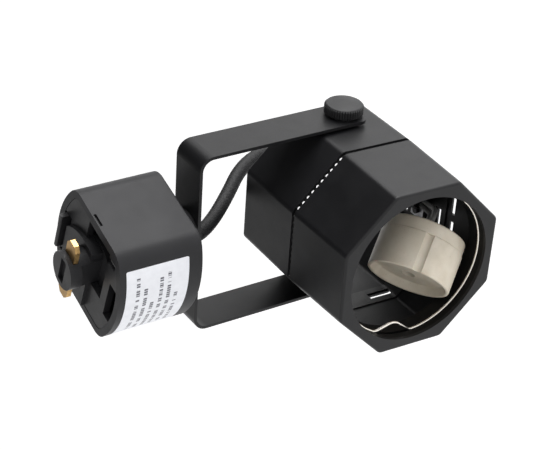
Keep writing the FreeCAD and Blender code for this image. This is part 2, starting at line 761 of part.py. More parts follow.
def make_holder_back():
    """Ceramic cap that closes the holder's rear, with two lead holes."""
    back = -dim.holder_length
    radius = dim.holder_radius
    body = turned_body("holder_back", [
        (ZERO, back + 4.6), (radius - 0.4, back + 4.6), (radius - 0.2, back + 4.0),
        (radius - 0.2, back + 1.0), (radius - 1.2, back), (ZERO, back)], holder_placement())
    holes = new_sketch(body, "XY_Plane", back + 5.0)
    for side in (-1, 1):
        circle(holes, dim.lead_radius + 0.1, as_size(5.0 * side), ZERO)
    pocket(body, holes, 6.0)


def make_holder_contacts():
    """Sprung contact cup in each of the holder's two holes."""
    recess = -dim.holder_recess
    cups = [cut(cylinder(2.3, recess - 7.2, recess - 2.0, (side * 5.0, 0)),
                cylinder(1.7, recess - 6.0, recess - 1.0, (side * 5.0, 0))) for side in (-1, 1)]
    contacts = doc.addObject("Part::Compound", "contacts")
    contacts.Links = cups
    keep(contacts, "holder_contacts", holder_placement())


def make_holder_screws():
    """Two small screws that hold the cap on."""
    back = -dim.holder_length
    screws = [fuse(cylinder(1.9, back - 0.8, back, (0, side * 8.0)),
                   cylinder(0.9, back - 0.1, back, (0, side * 8.0))) for side in (-1, 1)]
    group = doc.addObject("Part::Compound", "screws")
    group.Links = screws
    keep(group, "holder_screws", holder_placement())


# ---- Tilt pivot ---------------------------------------------------------------------------------

def make_pivot_hardware():
    """Spacers, nuts and the plain screw of the far side; local Z runs outwards along each pivot."""
    arm_in = dim.bracket_width / 2 - dim.sheet_thick
    arm_out = dim.bracket_width / 2
    shell_out = dim.gap_flats / 2
    shell_in = shell_out - dim.shell_wall
    hole = dim.screw_radius + dim.running_gap
    for side, place in (("upper", upper_pivot_place), ("lower", lower_pivot_place)):
        washer(f"{side}_spacer", as_size(5.5), hole, shell_out, arm_in - 0.05, place)
        turned_body(f"{side}_rivet_nut", [
            (hole, shell_in - 5.0), (as_size(3.1), shell_in - 5.0), (as_size(3.1), shell_in - 1.2),
            (as_size(4.6), shell_in - 1.0), (as_size(4.6), shell_in), (as_size(3.1), shell_in),
            (as_size(3.1), shell_out), (hole, shell_out)], place)
    screw = turned_body("pivot_screw", [
        (ZERO, shell_in - 6.0), (dim.screw_radius, shell_in - 6.0), (dim.screw_radius, arm_out + 0.05),
        (as_size(4.4), arm_out + 0.05), (as_size(4.0), arm_out + 1.6), (as_size(2.6), arm_out + 2.4),
        (ZERO, arm_out + 2.6)], lower_pivot_place)
    for turned in (0, 1):
        slot = new_sketch(screw, "XY_Plane", arm_out + 1.2)
        wide, narrow = as_size(2.2), as_size(0.45)
        sizes = (wide, narrow) if turned else (narrow, wide)
        rectangle(slot, -sizes[0], -sizes[1], sizes[0], sizes[1])
        pocket(screw, slot, 3.0, backwards=True)


def make_thumb_screw():
    """Knurled knob and threaded shank; a washer lies between the knob and the arm."""
    arm_out = dim.bracket_width / 2
    shell_in = dim.gap_flats / 2 - dim.shell_wall
    seat = arm_out + dim.thumb_washer_thick + 0.06
    top = seat + dim.knob_height
    washer("thumb_washer", as_size(4.6), dim.screw_radius + dim.running_gap, arm_out + 0.03, seat - 0.03,
           upper_pivot_place)
    screw = turned_body("thumb_screw", [
        (ZERO, shell_in - 6.0), (dim.screw_radius, shell_in - 6.0), (dim.screw_radius, seat),
        (dim.knob_radius - 0.5, seat), (dim.knob_radius, seat + 0.5), (dim.knob_radius, top - 0.6),
        (dim.knob_radius - 0.6, top), (ZERO, top)], upper_pivot_place)
    knurl = new_sketch(screw, "XY_Plane", seat - 0.5)
    circle(knurl, as_size(0.24), dim.knob_radius + 0.04, ZERO)
    notch = pocket(screw, knurl, dim.knob_height + 1, backwards=True)
    polar_pattern(screw, notch, dim.knurl_count)


# ---- Cable and leads ----------------------------------------------------------------------------

def make_cable():
    """Sleeved cable from the adapter through the nipple, round behind the head and into its clip."""
    pz = -dim.pivot_drop.value
    floor = -dim.adapter_height.value + dim.adapter_wall.value
    route = [(0, 0, floor + 3.6), (0, 0, -40.5), (1.8, 6, -47), (3.6, 14.5, -58), (4.8, 24, -70.5),
             (5.5, 32.5, pz + 10), (4, 34, pz - 7)]
    route += [tuple(head_place.multVec(Vector(*point)))
              for point in ((1.5, -22.5, -26), (0, -26, -8), (0, -26, CABLE_END))]
    shape_part("cable", tube(route, dim.cable_radius.value, "cable"))


def make_cable_clip():
    """Saddle over the cable's end on the rear shell's lower facet, held by two screws."""
    wall = -dim.gap_flats / 2 + dim.shell_wall
    bore = dim.cable_radius + 0.05
    centre = as_size(-26.0)
    low, high = as_size(CLIP_Z - 3.5), as_size(CLIP_Z + 3.5)
    arch = fuse(cylinder(bore + 1.0, low, high, (0, centre)),
                box((-bore - 1.0, wall, low), (bore + 1.0, centre, high)),
                box((-9.0, wall, low), (9.0, wall + 1.0, high)))
    arch = cut(arch, cylinder(bore, low - 1, high + 1, (0, centre)),
               box((-bore, wall - 1, low - 1), (bore, centre, high + 1)))
    below = box((-bore - 1.5, wall - 3, low - 1), (bore + 1.5, wall, high + 1))
    arch = cut(arch, below)
    holes, screws = [], []
    for x in (-CLIP_SCREW_X, CLIP_SCREW_X):
        hole = cylinder(1.25, 0, 6, turn=Rotation(X_AXIS, -90))
        set_position(hole, (x, wall - 2, CLIP_Z))
        shank = cylinder(1.2, 0, dim.shell_wall + 2.4, turn=Rotation(X_AXIS, -90))
        set_position(shank, (x, wall - dim.shell_wall - 0.2, CLIP_Z))
        head = cylinder(2.1, 0, 1.1, turn=Rotation(X_AXIS, -90))
        set_position(head, (x, wall - dim.shell_wall - 1.1, CLIP_Z))
        holes.append(hole)
        screws.append(fuse(shank, head))
    keep(cut(arch, *holes), "cable_clip", head_place)
    group = doc.addObject("Part::Compound", "clip_screws")
    group.Links = screws
    keep(group, "clip_screws", head_place)


def make_head_leads():
    """Two grey leads from the cable's end to the back of the lampholder."""
    place = holder_placement()
    back = -dim.holder_length.value
    leads = []
    for side in (-1, 1):
        cable_end = head_place.multVec(Vector(side * 1.2, -26.0, CABLE_END))
        ahead = head_place.multVec(Vector(side * 1.2, -26.0, CABLE_END + 6.0))
        behind = place.multVec(Vector(side * 5.0, 0, back - 6.5))
        entry = place.multVec(Vector(side * 5.0, 0, back))
        leads.append(tube([tuple(p) for p in (cable_end, ahead, behind, entry)],
                          dim.lead_radius.value, "holder lead"))
    shape_part("holder_leads", Part.makeCompound(leads))


make_adapter_housing()
make_adapter_cover()
make_contact_post()
make_contact_tabs()
make_earth_contact()
make_terminal_block()
make_lock_latch()
make_latch_spring()
make_rating_label()
make_swivel()
make_swivel_bush()
make_bracket()
make_rear_shell()
make_front_shell()
make_perforated_sleeve()
make_lamp_collar()
make_retaining_ring()
make_lamp_holder()
make_holder_back()
make_holder_contacts()
make_holder_screws()
make_pivot_hardware()
make_thumb_screw()
make_cable()
make_cable_clip()
make_head_leads()

doc.recompute()
for obj in doc.Objects:
    if "Invalid" in obj.State or "Error" in obj.State:
        raise RuntimeError(f"{obj.Name} ({obj.Label}) failed: {obj.State}")
os.makedirs(PARTS_FOLDER, exist_ok=True)
for obj in outputs:
    if obj.Shape.isNull() or not obj.Shape.isValid():
        raise RuntimeError(f"{obj.Label} has no valid shape")
    obj.Shape.exportStep(f"{PARTS_FOLDER}/{obj.Label}.step")
    print(f"{obj.Label}: {len(obj.Shape.Solids)} solid(s), {obj.Shape.Volume:.1f} mm3")
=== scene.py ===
import json
import math

import bmesh
import bpy
from mathutils import Matrix, Vector


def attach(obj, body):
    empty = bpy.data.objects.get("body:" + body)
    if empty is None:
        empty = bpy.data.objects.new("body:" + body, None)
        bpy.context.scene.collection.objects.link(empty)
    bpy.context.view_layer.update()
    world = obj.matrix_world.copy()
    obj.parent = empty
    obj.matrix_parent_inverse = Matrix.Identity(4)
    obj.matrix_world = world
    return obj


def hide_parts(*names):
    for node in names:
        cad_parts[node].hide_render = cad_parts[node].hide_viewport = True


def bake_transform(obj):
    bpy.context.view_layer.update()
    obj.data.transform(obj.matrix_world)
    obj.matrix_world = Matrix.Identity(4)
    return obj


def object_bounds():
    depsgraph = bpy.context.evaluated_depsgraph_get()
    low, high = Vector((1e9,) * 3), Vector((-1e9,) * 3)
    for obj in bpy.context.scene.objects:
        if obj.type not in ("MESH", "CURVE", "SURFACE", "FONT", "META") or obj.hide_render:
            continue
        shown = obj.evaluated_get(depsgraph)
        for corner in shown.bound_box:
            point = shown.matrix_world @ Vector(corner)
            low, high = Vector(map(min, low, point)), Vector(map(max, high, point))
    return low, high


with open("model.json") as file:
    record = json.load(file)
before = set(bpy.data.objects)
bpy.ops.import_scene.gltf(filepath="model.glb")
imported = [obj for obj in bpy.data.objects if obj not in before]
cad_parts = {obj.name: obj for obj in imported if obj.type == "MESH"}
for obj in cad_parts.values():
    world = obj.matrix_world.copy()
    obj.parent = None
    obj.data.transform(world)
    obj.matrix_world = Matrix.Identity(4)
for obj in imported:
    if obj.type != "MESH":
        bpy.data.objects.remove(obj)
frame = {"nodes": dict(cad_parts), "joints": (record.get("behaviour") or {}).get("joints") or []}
cad_low, cad_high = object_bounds()

# Track spotlight. Everything is placed in two local frames of the CAD: the adapter's, turned on its swivel,
# and the head's, whose +Z is the light axis. Lengths below are in millimetres until scaled by MM.
MM = 0.001
nodes = frame["nodes"]
joints = {joint["name"]: joint for joint in frame["joints"]}
pivot = Vector(joints["head_tilt"]["pos_m"])
REST_TILT = math.radians(88)
REST_SWIVEL = math.radians(-19)
head_frame = Matrix.Translation(pivot) @ Matrix.Rotation(REST_TILT, 4, "X")
adapter_frame = Matrix.Rotation(REST_SWIVEL, 4, "Z")
TAU = 2 * math.pi


# ---- Materials ----------------------------------------------------------------------------------

class Nodes:
    """A small builder for one material's node tree, with object coordinates in millimetres."""

    def __init__(self, name):
        self.material = bpy.data.materials.new(name)
        self.material.use_nodes = True
        self.tree = self.material.node_tree
        self.shader = self.tree.nodes["Principled BSDF"]
        coords = self.add("ShaderNodeTexCoord")
        self.place = self.add("ShaderNodeVectorMath", operation="SCALE")
        self.place.inputs["Scale"].default_value = 1 / MM
        self.join(coords.outputs["Object"], self.place.inputs[0])
        self.uv = coords.outputs["UV"]

    def add(self, kind, **settings):
        node = self.tree.nodes.new(kind)
        for key, value in settings.items():
            setattr(node, key, value)
        return node

    def join(self, source, target):
        self.tree.links.new(source, target)

    def set(self, **values):
        for key, value in values.items():
            self.shader.inputs[key.replace("_", " ")].default_value = value

    def noise(self, scale, detail=3.0, roughness=0.5, stretch=(1, 1, 1)):
        """Noise with that many features per millimetre."""
        node = self.add("ShaderNodeTexNoise")
        node.inputs["Scale"].default_value = scale
        node.inputs["Detail"].default_value = detail
        node.inputs["Roughness"].default_value = roughness
        mapping = self.add("ShaderNodeMapping")
        mapping.inputs["Scale"].default_value = stretch
        self.join(self.place.outputs[0], mapping.inputs[0])
        self.join(mapping.outputs[0], node.inputs["Vector"])
        return node.outputs["Fac"]

    def span(self, value, low, high, start=0.3, stop=0.7):
        """Maps a value from start..stop to low..high."""
        node = self.add("ShaderNodeMapRange")
        for key, number in (("From Min", start), ("From Max", stop), ("To Min", low), ("To Max", high)):
            node.inputs[key].default_value = number
        self.join(value, node.inputs["Value"])
        return node.outputs["Result"]

    def blend(self, factor, first, second):
        node = self.add("ShaderNodeMix", data_type="RGBA")
        self.join(factor, node.inputs["Factor"])
        for socket, colour in ((node.inputs[6], first), (node.inputs[7], second)):
            if isinstance(colour, tuple):
                socket.default_value = (*colour, 1)
            else:
                self.join(colour, socket)
        return node.outputs[2]

    def math(self, operation, first, second=0.0):
        node = self.add("ShaderNodeMath", operation=operation)
        for socket, value in zip(node.inputs, (first, second)):
            if isinstance(value, (int, float)):
                socket.default_value = value
            else:
                self.join(value, socket)
        return node.outputs[0]

    def colour(self, socket):
        self.join(socket, self.shader.inputs["Base Color"])

    def roughness(self, socket):
        self.join(socket, self.shader.inputs["Roughness"])

    def bump(self, height, depth_mm):
        node = self.add("ShaderNodeBump")
        node.inputs["Strength"].default_value = 1.0
        node.inputs["Distance"].default_value = depth_mm * MM
        self.join(height, node.inputs["Height"])
        self.join(node.outputs[0], self.shader.inputs["Normal"])


def coated(name, dark, light, rough, grain, depth, **values):
    """Paint or moulded plastic: fine grain in the surface, slow drift in colour and gloss."""
    made = Nodes(name)
    made.colour(made.blend(made.span(made.noise(0.09, 4), 0, 1), dark, light))
    speckle = made.noise(grain, 2)
    drift = made.span(made.noise(0.16, 3), *rough)
    made.roughness(made.math("ADD", drift, made.span(speckle, -0.03, 0.03)))
    made.bump(speckle, depth)
    made.set(**values)
    return made.material


def metal(name, dark, light, rough, stretch=(1, 1, 1), depth=0.004):
    made = Nodes(name)
    marks = made.noise(1.6, 3, stretch=stretch)
    made.colour(made.blend(made.span(marks, 0, 1), dark, light))
    made.roughness(made.span(made.noise(0.5, 3), *rough))
    made.bump(marks, depth)
    made.set(Metallic=1.0)
    return made.material


black_paint = coated("black_paint", (0.0050, 0.0050, 0.0058), (0.0072, 0.0072, 0.0082), (0.37, 0.43),
                     3.2, 0.008, Specular_IOR_Level=0.34)
# Painted shade: a darker, less glossy copy of the black paint, used on the lamp collar to stand in for the
# shade inside the head.
black_inner = coated("black_inner", (0.0025, 0.0025, 0.0026), (0.0038, 0.0038, 0.0040), (0.42, 0.50),
                     3.0, 0.008, Specular_IOR_Level=0.2)
adapter_plastic = coated("adapter_plastic", (0.018, 0.018, 0.0196), (0.022, 0.022, 0.024),
                         (0.42, 0.48), 4.5, 0.006, Specular_IOR_Level=0.22)
cover_plastic = coated("cover_plastic", (0.012, 0.012, 0.013), (0.017, 0.017, 0.0185), (0.34, 0.44),
                       4.0, 0.008, Specular_IOR_Level=0.3)
black_plastic = coated("black_plastic", (0.008, 0.008, 0.009), (0.012, 0.012, 0.013), (0.40, 0.52),
                       5.0, 0.014, Specular_IOR_Level=0.4)
terminal_plastic = coated("terminal_plastic", (0.60, 0.60, 0.56), (0.68, 0.67, 0.63), (0.45, 0.55),
                          3.0, 0.006)
insulation = coated("insulation", (0.22, 0.22, 0.215), (0.28, 0.28, 0.27), (0.42, 0.52), 2.0, 0.008)
mesh_metal = coated("mesh_metal", (0.010, 0.010, 0.010), (0.016, 0.016, 0.016), (0.35, 0.5), 3.0,
                    0.006)
brass = metal("brass", (0.50, 0.31, 0.12), (0.66, 0.43, 0.18), (0.26, 0.40))
bright_steel = metal("bright_steel", (0.62, 0.62, 0.63), (0.78, 0.78, 0.78), (0.16, 0.30))
zinc_steel = metal("zinc_steel", (0.36, 0.36, 0.37), (0.52, 0.52, 0.53), (0.32, 0.46))
spring_wire = metal("spring_wire", (0.76, 0.71, 0.64), (0.92, 0.88, 0.82), (0.16, 0.26),
                    stretch=(0.3, 0.3, 3))


def make_ceramic():
    """Unglazed steatite: warm off-white, faint cloudiness, sparse dark specks, a dry waxy surface."""
    made = Nodes("ceramic")
    cloud = made.span(made.noise(0.18, 4), 0, 1)
    body = made.blend(cloud, (0.56, 0.50, 0.40), (0.65, 0.59, 0.49))
    specks = made.span(made.noise(1.9, 2), 0, 0.35, 0.66, 0.74)
    made.colour(made.blend(specks, body, (0.35, 0.29, 0.21)))
    made.roughness(made.span(made.noise(0.7, 3), 0.42, 0.56))
    made.bump(made.noise(3.0, 4), 0.010)
    made.set(Subsurface_Weight=0.06, Subsurface_Scale=0.0012)
    return made.material


def make_braid():
    """Coated glass-fibre sleeve: charcoal yarns, darkest in the valleys between them and lighter towards
    their crowns.
    """
    made = Nodes("braided_sleeve")
    crown = made.add("ShaderNodeAttribute", attribute_name="crown").outputs["Fac"]
    fibre = made.noise(7.0, 3)
    crown_tone = made.math("MULTIPLY", made.span(crown, 0, 1, 0.25, 1.0), made.span(fibre, 0.25, 1))
    made.colour(made.blend(crown_tone, (0.003, 0.003, 0.0035), (0.020, 0.020, 0.0215)))
    made.roughness(made.span(fibre, 0.42, 0.62))
    made.bump(fibre, 0.03)
    made.set(Specular_IOR_Level=0.4)
    return made.material


def make_label():
    """White film with rows of plain printed bars in place of any wording."""
    made = Nodes("label_paper")
    split = made.add("ShaderNodeSeparateXYZ")
    made.join(made.uv, split.inputs[0])
    along, across = split.outputs[0], split.outputs[1]
    rows = made.math("MULTIPLY", across, 8.0)
    row, within = made.math("FLOOR", rows), made.math("FRACT", rows)

    def between(value, low, high):
        above, below = made.math("GREATER_THAN", value, low), made.math("LESS_THAN", value, high)
        return made.math("MULTIPLY", above, below)

    band = between(within, 0.26, 0.72)
    words = made.add("ShaderNodeTexNoise", noise_dimensions="2D")
    words.inputs["Scale"].default_value = 1.0
    words.inputs["Detail"].default_value = 1.0
    place = made.add("ShaderNodeCombineXYZ")
    made.join(made.math("MULTIPLY", along, 26.0), place.inputs[0])
    made.join(made.math("MULTIPLY", row, 7.3), place.inputs[1])
    made.join(place.outputs[0], words.inputs["Vector"])
    printed = made.math("GREATER_THAN", words.outputs["Fac"], 0.44)
    strokes = made.math("LESS_THAN", made.math("FRACT", made.math("MULTIPLY", along, 34.0)), 0.74)
    length = made.add("ShaderNodeTexWhiteNoise", noise_dimensions="1D")
    made.join(row, length.inputs["W"])
    reach = made.span(length.outputs["Value"], 0.55, 0.93, 0, 1)
    inside = between(along, 0.08, reach)
    used = between(row, 0.5, 6.5)
    ink = made.math("MULTIPLY", band, printed)
    for mask in (strokes, inside, used):
        ink = made.math("MULTIPLY", ink, mask)
    paper = made.blend(made.span(made.noise(0.4, 3), 0, 1), (0.76, 0.77, 0.81), (0.82, 0.83, 0.87))
    made.colour(made.blend(ink, paper, (0.10, 0.10, 0.12)))
    made.roughness(made.span(made.noise(1.0, 2), 0.30, 0.40))
    made.bump(made.noise(0.5, 2), 0.004)
    return made.material


ceramic, braid, label_paper = make_ceramic(), make_braid(), make_label()

node_materials = {
    "adapter_housing": adapter_plastic, "adapter_cover": cover_plastic, "contact_post": cover_plastic,
    "line_contact": brass, "neutral_contact": brass, "earth_contact": bright_steel,
    "terminal_block": terminal_plastic, "terminal_screws": bright_steel, "lock_latch": cover_plastic,
    "latch_spring": zinc_steel, "rating_label": label_paper, "swivel_nipple": zinc_steel,
    "swivel_disc": black_plastic, "swivel_washer": black_paint, "swivel_nut": black_paint,
    "swivel_bush": black_plastic, "u_bracket": black_paint, "cable": braid, "rear_shell": black_paint,
    "front_shell": black_paint, "perforated_sleeve": mesh_metal, "lamp_collar": black_inner,
    "retaining_ring": spring_wire, "upper_spacer": black_plastic, "lower_spacer": black_plastic,
    "upper_rivet_nut": zinc_steel, "lower_rivet_nut": zinc_steel, "pivot_screw": black_paint,
    "cable_clip": zinc_steel, "clip_screws": black_paint, "holder_leads": insulation,
    "lamp_holder": ceramic, "holder_back": ceramic, "holder_contacts": bright_steel,
    "holder_screws": bright_steel, "thumb_screw": black_plastic, "thumb_washer": zinc_steel,
}
for name, material in node_materials.items():
    node = nodes[name]
    node.data.materials.clear()
    node.data.materials.append(material)


# ---- Mesh helpers -------------------------------------------------------------------------------

def make_mesh(name, points, faces, material, frame_matrix=Matrix.Identity(4), smooth=True):
    """A mesh object from points in millimetres of a local frame."""
    mesh = bpy.data.meshes.new(name)
    mesh.from_pydata([frame_matrix @ (Vector(p) * MM) for p in points], [], faces)
    mesh.validate()
    mesh.update()
    if smooth:
        mesh.shade_smooth()
    mesh.materials.append(material)
    made = bpy.data.objects.new(name, mesh)
    bpy.context.scene.collection.objects.link(made)
    return made


def recalc(made):
    """Turns the faces of a closed mesh outwards."""
    work = bmesh.new()
    work.from_mesh(made.data)
    bmesh.ops.recalc_face_normals(work, faces=work.faces)
    work.to_mesh(made.data)
    work.free()
    return made


def sharpen(made, degrees=35):
    """Smooth shading, with a crease wherever faces meet at more than an angle."""
    made.data.shade_smooth()
    work = bmesh.new()
    work.from_mesh(made.data)
    limit = math.radians(degrees)
    for edge in work.edges:
        edge.smooth = len(edge.link_faces) == 2 and edge.calc_face_angle(0) < limit
    work.to_mesh(made.data)
    work.free()
    return made


def rings_to_faces(count, around, close_start=False, close_end=False, loop=False):
    """Quads between successive rings of points."""
    faces = []
    for i in range(count if loop else count - 1):
        a, b = i * around, ((i + 1) % count) * around
        for j in range(around):
            k = (j + 1) % around
            faces.append((a + j, a + k, b + k, b + j))
    if close_start:
        faces.append(tuple(range(around))[::-1])
    if close_end:
        faces.append(tuple((count - 1) * around + j for j in range(around)))
    return faces


def fillet_profile(profile, steps=5):
    """Rounds the corners of a profile of (radius, height, fillet) points."""
    made = []
    count = len(profile)
    for i, (r, z, fillet) in enumerate(profile):
        if not fillet or i in (0, count - 1):
            made.append((r, z))
            continue
        here = Vector((r, z))
        before = Vector(profile[i - 1][:2]) - here
        after = Vector(profile[i + 1][:2]) - here
        start, stop = here + before.normalized() * fillet, here + after.normalized() * fillet
        for step in range(steps + 1):
            t = step / steps
            point = start * (1 - t) ** 2 + here * 2 * t * (1 - t) + stop * t ** 2
            made.append((point.x, point.y))
    return made


def turned(name, profile, around, material, frame_matrix, radius_at=None):
    """A solid of revolution about local Z; radius_at(r, z, angle) may shape its side."""
    points = []
    for r, z in profile:
        for j in range(around):
            angle = TAU * j / around
            reach = radius_at(r, z, angle) if radius_at else r
            points.append((reach * math.cos(angle), reach * math.sin(angle), z))
    faces = rings_to_faces(len(profile), around, True, True)
    return recalc(make_mesh(name, points, faces, material, frame_matrix))


def smooth_path(points, resolution=40):
    """Points read from a NURBS spline through the row frame's control points, in metres."""
    curve = bpy.data.curves.new("path", "CURVE")
    curve.dimensions = "3D"
    curve.resolution_u = resolution
    spline = curve.splines.new("NURBS")
    spline.points.add(len(points) - 1)
    for point, place in zip(spline.points, points):
        point.co = (*place, 1)
    spline.order_u = 3
    spline.use_endpoint_u = True
    holder = bpy.data.objects.new("path", curve)
    bpy.context.scene.collection.objects.link(holder)
    bpy.context.view_layer.update()
    mesh = bpy.data.meshes.new_from_object(holder)
    path = [v.co.copy() for v in mesh.vertices]
    bpy.data.objects.remove(holder)
    bpy.data.meshes.remove(mesh)
    return path


def resample(path, step):
    """Evenly spaced points along a path."""
    lengths = [0.0]
    for a, b in zip(path, path[1:]):
        lengths.append(lengths[-1] + (b - a).length)
    count = max(2, round(lengths[-1] / step))
    made, i = [], 0
    for n in range(count + 1):
        want = lengths[-1] * n / count
        while i < len(path) - 2 and lengths[i + 1] < want:
            i += 1
        run = lengths[i + 1] - lengths[i]
        made.append(path[i].lerp(path[i + 1], (want - lengths[i]) / run if run else 0))
    return made, lengths[-1]


def sweep(path, radius_at, around):
    """Rings of points round a path, kept from twisting; radius_at(distance, angle) is in metres."""
    rings = []
    side = None
    travelled = 0.0
    for i, place in enumerate(path):
        ahead = (path[min(i + 1, len(path) - 1)] - path[max(i - 1, 0)]).normalized()
        if side is None:
            side = ahead.orthogonal().normalized()
        side = (side - ahead * side.dot(ahead)).normalized()
        other = ahead.cross(side)
        if i:
            travelled += (place - path[i - 1]).length
        for j in range(around):
            angle = TAU * j / around
            out = side * math.cos(angle) + other * math.sin(angle)
            rings.append(place + out * radius_at(travelled, angle))
    return rings


def even(radius):
    """The same radius everywhere, given in millimetres."""
    return lambda distance, angle: radius * MM


def tube(name, path, radius_at, around, material):
    points = sweep(path, radius_at, around)
    faces = rings_to_faces(len(path), around, True, True)
    made = make_mesh(name, [p / MM for p in points], faces, material)
    return recalc(made)


# ---- Cable: braided sleeve over the two wires ------------------------------------------------------

CABLE_R, YARN, CABLE_END, CABLE_LEVEL = 2.5, 0.26, 14.5, -26
CARRIERS, LAY = 12, 9.5


def braid_height(distance, angle):
    """0 in the valleys of the braid and 1 on the crown of each yarn, two over and two under."""
    turn, run = angle / TAU, distance / MM / LAY
    a, b = CARRIERS * (turn + run), CARRIERS * (turn - run)
    over = (math.floor(a) + 2 * math.floor(b / 2) + math.floor(b)) % 4 < 2
    first, second = (a, b) if over else (b, a)
    width = math.sin(math.pi * (first - math.floor(first)))
    hump = math.sin(math.pi * ((second / 2) - math.floor(second / 2)))
    return max(0.0, width) ** 0.6 * (0.55 + 0.45 * hump)


def head_point(x, y, z):
    return head_frame @ (Vector((x, y, z)) * MM)


def row_point(x, y, z):
    return Vector((x, y, z)) * MM


drop = pivot.z / MM
cable_route = [row_point(0, 0, -22.9), row_point(0, 0, -36.5), row_point(0, 0, -40.5),
               row_point(0.1, 6, -49.2), row_point(2.1, 14.5, -59.5), row_point(5.9, 24, -70.5),
               row_point(4.9, 32.5, drop + 10),
               row_point(4, 34, drop - 7), head_point(1.5, -22.5, -26), head_point(0, -26, -8),
               head_point(0, CABLE_LEVEL, CABLE_END)]
cable_line, cable_length = resample(smooth_path(cable_route), 0.16 * MM)
AROUND = 112


def braid_radius(distance, angle):
    return (CABLE_R - YARN + YARN * braid_height(distance, angle)) * MM


cable = tube("cable_braid", cable_line, braid_radius, AROUND, braid)
crown = cable.data.attributes.new("crown", "FLOAT", "POINT")
step = cable_length / (len(cable_line) - 1)
crown.data.foreach_set("value", [braid_height(i * step, TAU * j / AROUND)
                                 for i in range(len(cable_line)) for j in range(AROUND)])
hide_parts("cable")
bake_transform(cable)


# ---- Lampholder ---------------------------------------------------------------------------------

HOLDER_RIM, HOLDER_FACING = Vector((-11.0, -4.0, 40.0)), Vector((-0.66, 0.63, 0.42))
HOLDER_R, HOLDER_L, RECESS, CAP_THICK = 14.2, 17.8, 3.2, 4.6
HOLDER_SEAM = CAP_THICK - HOLDER_L
PIN_OFFSET, PIN_HOLE_R = 5.0, 2.5
holder_turn = Vector((0, 0, 1)).rotation_difference(HOLDER_FACING.normalized()).to_matrix().to_4x4()
holder_frame = head_frame @ Matrix.Translation(HOLDER_RIM * MM) @ holder_turn


def grooved(r, z, angle):
    """The cup's outside, with a round groove down one side."""
    if r < HOLDER_R - 1.0:
        return r
    centre, groove_r = HOLDER_R + 0.5, 1.6
    off = abs(math.remainder(angle, TAU)) * r
    if off >= groove_r - 0.1:
        return r
    return min(r, centre - math.sqrt(groove_r ** 2 - off ** 2))


def bore_contact_holes(made):
    """Cuts the two lamp pin holes into the floor of the cup's recess."""
    drills = []
    for side in (-1, 1):
        place = holder_frame @ Matrix.Translation(Vector((side * PIN_OFFSET, 0, 0)) * MM)
        low, high = -RECESS - 8.0, -RECESS + 1.0
        drill = turned("drill", [(0.02, low), (PIN_HOLE_R, low), (PIN_HOLE_R, high), (0.02, high)],
                       48, ceramic, place)
        bore = made.modifiers.new("bore", "BOOLEAN")
        bore.operation, bore.solver, bore.object = "DIFFERENCE", "EXACT", drill
        drills.append(drill)
    bpy.context.view_layer.update()
    mesh = bpy.data.meshes.new_from_object(made.evaluated_get(bpy.context.evaluated_depsgraph_get()))
    made.modifiers.clear()
    made.data = mesh
    for drill in drills:
        bpy.data.objects.remove(drill)


holder = turned("lamp_holder_cup", fillet_profile([
    (0.02, -RECESS, 0), (12.5, -RECESS, 0.5), (13.1, 0, 0.3), (HOLDER_R, 0, 0.5),
    (HOLDER_R, HOLDER_SEAM, 0.25), (0.02, HOLDER_SEAM, 0)]), 288, ceramic, holder_frame, grooved)
bore_contact_holes(holder)
sharpen(holder, 40)
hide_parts("lamp_holder")
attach(holder, "holder")
back = turned("lamp_holder_back", fillet_profile([
    (0.02, HOLDER_SEAM, 0), (HOLDER_R - 0.25, HOLDER_SEAM, 0.25), (HOLDER_R - 0.25, -HOLDER_L, 0.9),
    (0.02, -HOLDER_L, 0)]), 144, ceramic, holder_frame)
sharpen(back, 40)
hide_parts("holder_back")
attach(back, "holder")


# ---- Thumb screw: knurled knob on a plain shank ------------------------------------------------------

KNOB_R, KNOB_SEAT, KNOB_TOP, TEETH = 6.65, 32.86, 36.46, 46
knob_frame = Matrix.Translation(pivot) @ Matrix.Rotation(math.pi / 2, 4, "Y")


def knurled(r, z, angle):
    if r < KNOB_R - 0.01:
        return r
    return r - 0.38 * (0.5 - 0.5 * math.cos(TEETH * angle)) ** 3


knob = turned("thumb_screw_knob", [
    (0.02, 23.6), (1.6, 23.6), (1.98, 24.0), (1.98, KNOB_SEAT), (5.7, KNOB_SEAT), (6.2, KNOB_SEAT + 0.12),
    (KNOB_R, KNOB_SEAT + 0.4), (KNOB_R, KNOB_SEAT + 1.3), (KNOB_R, KNOB_SEAT + 2.1),
    (KNOB_R, KNOB_TOP - 0.65),
    (6.22, KNOB_TOP - 0.26), (6.05, KNOB_TOP - 0.08), (5.8, KNOB_TOP), (0.02, KNOB_TOP)],
    TEETH * 12, black_plastic, knob_frame, knurled)
sharpen(knob, 30)
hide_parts("thumb_screw")
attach(knob, "thumb_screw")


# ---- Label: thin film bent round the adapter's end ---------------------------------------------------

